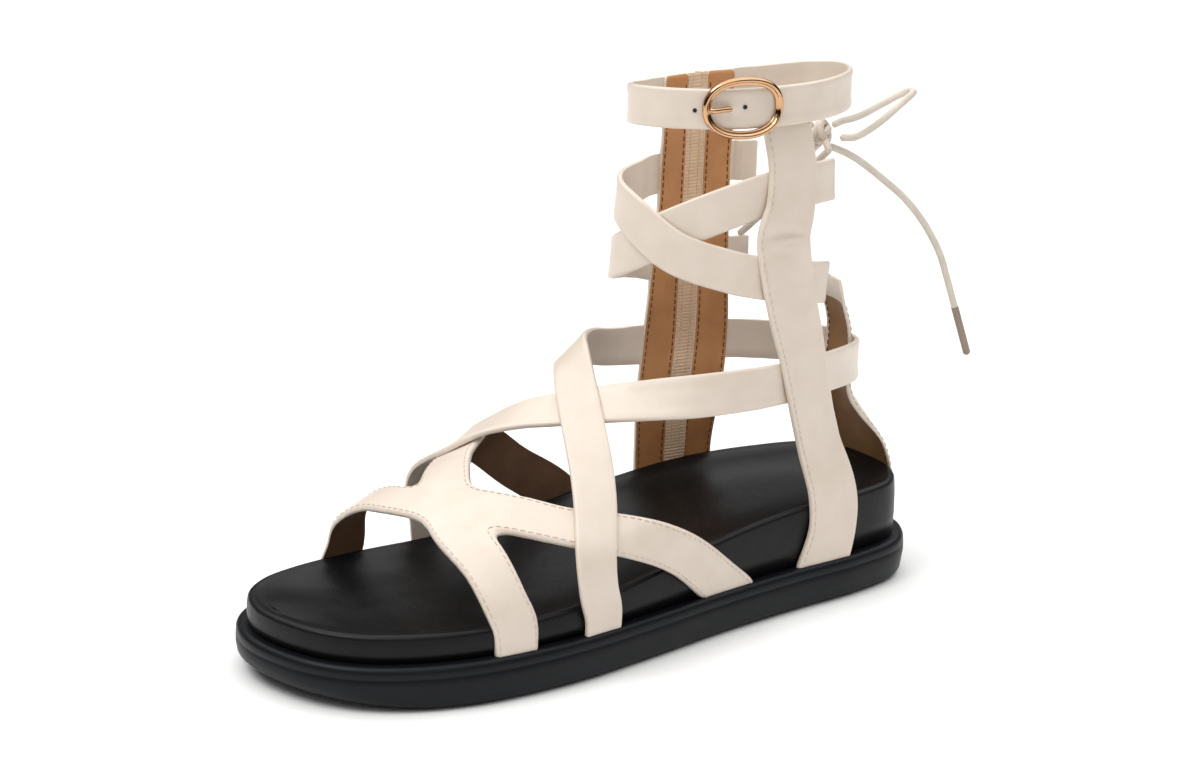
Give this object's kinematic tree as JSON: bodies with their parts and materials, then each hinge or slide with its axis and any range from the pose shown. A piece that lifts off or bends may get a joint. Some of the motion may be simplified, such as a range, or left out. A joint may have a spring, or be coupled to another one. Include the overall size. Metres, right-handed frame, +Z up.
{
  "type": "gladiator sandal",
  "caption": "Open-toed ankle-high gladiator sandal: crossing leather straps on a black platform sole, with a side zip, a buckled ankle strap and a lace tied at the back.",
  "frame": {"origin": "on the floor under the middle of the heel, on the flat underside of the outsole", "axes": "+Z up, -Y towards the toes, +X towards the outer side of the foot"},
  "size_m": [0.0961, 0.2856, 0.1928],
  "materials": {
    "upper_leather": "smooth cream leather",
    "lining": "tan lining leather with cream outer face",
    "footbed": "fine-grained black, semi-matt",
    "outsole_rubber": "matt black",
    "zip_tape": "beige woven tape",
    "zip_teeth": "beige nylon coil",
    "metal": "polished rose gold plate",
    "lace": "round cream cord",
    "aglet": "taupe"
  },
  "bodies": {
    "sandal": {"outsole": "outsole_rubber", "footbed": "footbed", "upper": "upper_leather", "heel_counter": "lining", "zip_tape": "zip_tape", "zip_teeth": "zip_teeth", "zip_slider": "metal", "buckle_frame": "metal", "buckle_prong": "metal", "lace_crossings": "lace", "lace_lower_run": "lace", "lace_knot": "lace", "lace_loop_outer": "lace", "lace_loop_inner": "lace", "lace_end_outer": "lace", "lace_end_inner": "lace", "aglet_outer": "aglet", "aglet_inner": "aglet"},
    "zip_pull": {"zip_pull_tab": "metal"}
  },
  "joints": [
    {"name": "zip_pull_hinge", "type": "hinge", "parent": "sandal", "child": "zip_pull", "pos_m": [-0.0345, -0.03059, 0.178], "axis": [-0.0159, 0.9999, 0], "range_deg": [0, 150]}
  ]
}
